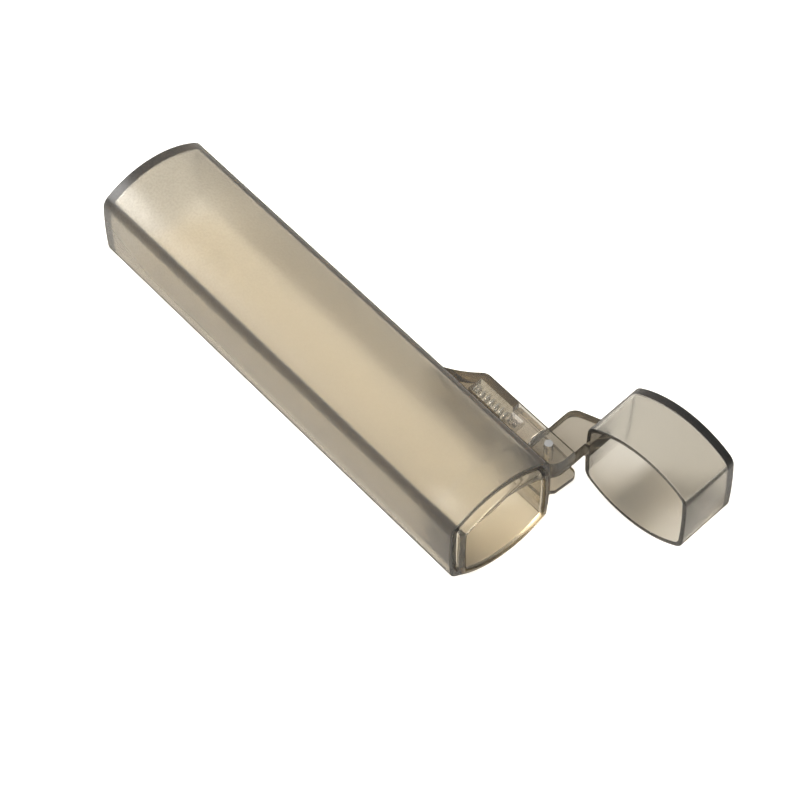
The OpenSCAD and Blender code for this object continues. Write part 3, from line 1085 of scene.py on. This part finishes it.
def floor_material():
    """A pale matt floor that looks white to the camera, and is dimmer as seen in the plastic."""
    material = bpy.data.materials.new("Pale floor")
    material.use_nodes = True
    tree = material.node_tree
    shader = tree.nodes["Principled BSDF"]
    shader.inputs["Base Color"].default_value = (*colours().floor, 1)
    shader.inputs["Roughness"].default_value = 0.9
    shader.inputs["Specular IOR Level"].default_value = 0.0
    shader.inputs["Emission Color"].default_value = WHITE
    glow = by_ray(tree, camera=0.75, through=0.06, mirrored=0.3, other=0.0)
    tree.links.new(glow, shader.inputs["Emission Strength"])
    return material


def add_world(scene):
    """An even white surround, weaker as seen in the plastic than by the camera."""
    world = bpy.data.worlds.new("Studio")
    scene.world = world
    world.use_nodes = True
    tree = world.node_tree
    background = tree.nodes["Background"]
    background.inputs["Color"].default_value = WHITE
    strength = by_ray(tree, camera=1.0, through=0.6, mirrored=0.45, other=0.45)
    tree.links.new(strength, background.inputs["Strength"])


def add_lamps(scene):
    """Two soft area lamps, one high behind the case's closed end and one over the cap."""
    for name, place, side, watts in LAMPS:
        light = bpy.data.lights.new(name, "AREA")
        light.size = side
        light.energy = watts
        lamp = bpy.data.objects.new(name, light)
        lamp.location = place
        towards = Vector(LIT_POINT) - Vector(place)
        lamp.rotation_euler = towards.to_track_quat("-Z", "Y").to_euler()
        scene.collection.objects.link(lamp)


def add_camera(scene):
    """The camera: its place and its right, up and back directions, as found from the photograph.

    Back comes from the azimuth and elevation, right is square to it and level, and both right and
    down are then turned by the roll.
    """
    azimuth, elevation, roll = (math.radians(angle) for angle in CAMERA_ANGLES)
    level = math.cos(elevation)
    back = Vector((math.cos(azimuth) * level, math.sin(azimuth) * level, math.sin(elevation)))
    right = (-back).cross(Vector((0, 0, 1))).normalized()
    down = (-back).cross(right)
    right, down = (math.cos(roll) * right + math.sin(roll) * down,
                   -math.sin(roll) * right + math.cos(roll) * down)
    data = bpy.data.cameras.new("Camera")
    data.sensor_width = SENSOR_WIDTH
    data.lens = FOCAL_LENGTH
    data.clip_end = 10
    camera = bpy.data.objects.new("Camera", data)
    turn = Matrix((right, -down, back)).transposed().to_4x4()
    camera.matrix_world = Matrix.Translation(Vector(CAMERA_PLACE) * MM) @ turn
    scene.collection.objects.link(camera)
    scene.camera = camera


class ToothpickCasePanel(bpy.types.Panel):
    """Lists the builders of the toothpick case"""

    bl_idname = "VIEW3D_PT_toothpick_case"
    bl_label = "Toothpick case"
    bl_space_type = "VIEW_3D"
    bl_region_type = "UI"
    bl_category = "Toothpick case"

    def draw(self, context):
        for operator in OPERATORS:
            self.layout.operator(operator.bl_idname)


OPERATORS = (MakeCase, MakeCollar, MakeCap, MakePin, MakeSpring, MakePlunger, MakeStage)
CLASSES = (ToothpickCaseSizes, ToothpickCaseColours, *OPERATORS, ToothpickCasePanel)


def register():
    """Registers the classes and gives the scene its sizes and colours."""
    for cls in CLASSES:
        bpy.utils.register_class(cls)
    bpy.types.Scene.toothpick_case_sizes = PointerProperty(type=ToothpickCaseSizes)
    bpy.types.Scene.toothpick_case_colours = PointerProperty(type=ToothpickCaseColours)


def unregister():
    """Takes away what register gave."""
    del bpy.types.Scene.toothpick_case_colours
    del bpy.types.Scene.toothpick_case_sizes
    for cls in reversed(CLASSES):
        bpy.utils.unregister_class(cls)


def main():
    """Builds every piece and the stage."""
    register()
    bpy.ops.toothpick_case.case()
    bpy.ops.toothpick_case.collar()
    bpy.ops.toothpick_case.cap()
    bpy.ops.toothpick_case.pin()
    bpy.ops.toothpick_case.spring()
    bpy.ops.toothpick_case.plunger()
    bpy.ops.toothpick_case.stage()


if __name__ == "__main__":
    main()
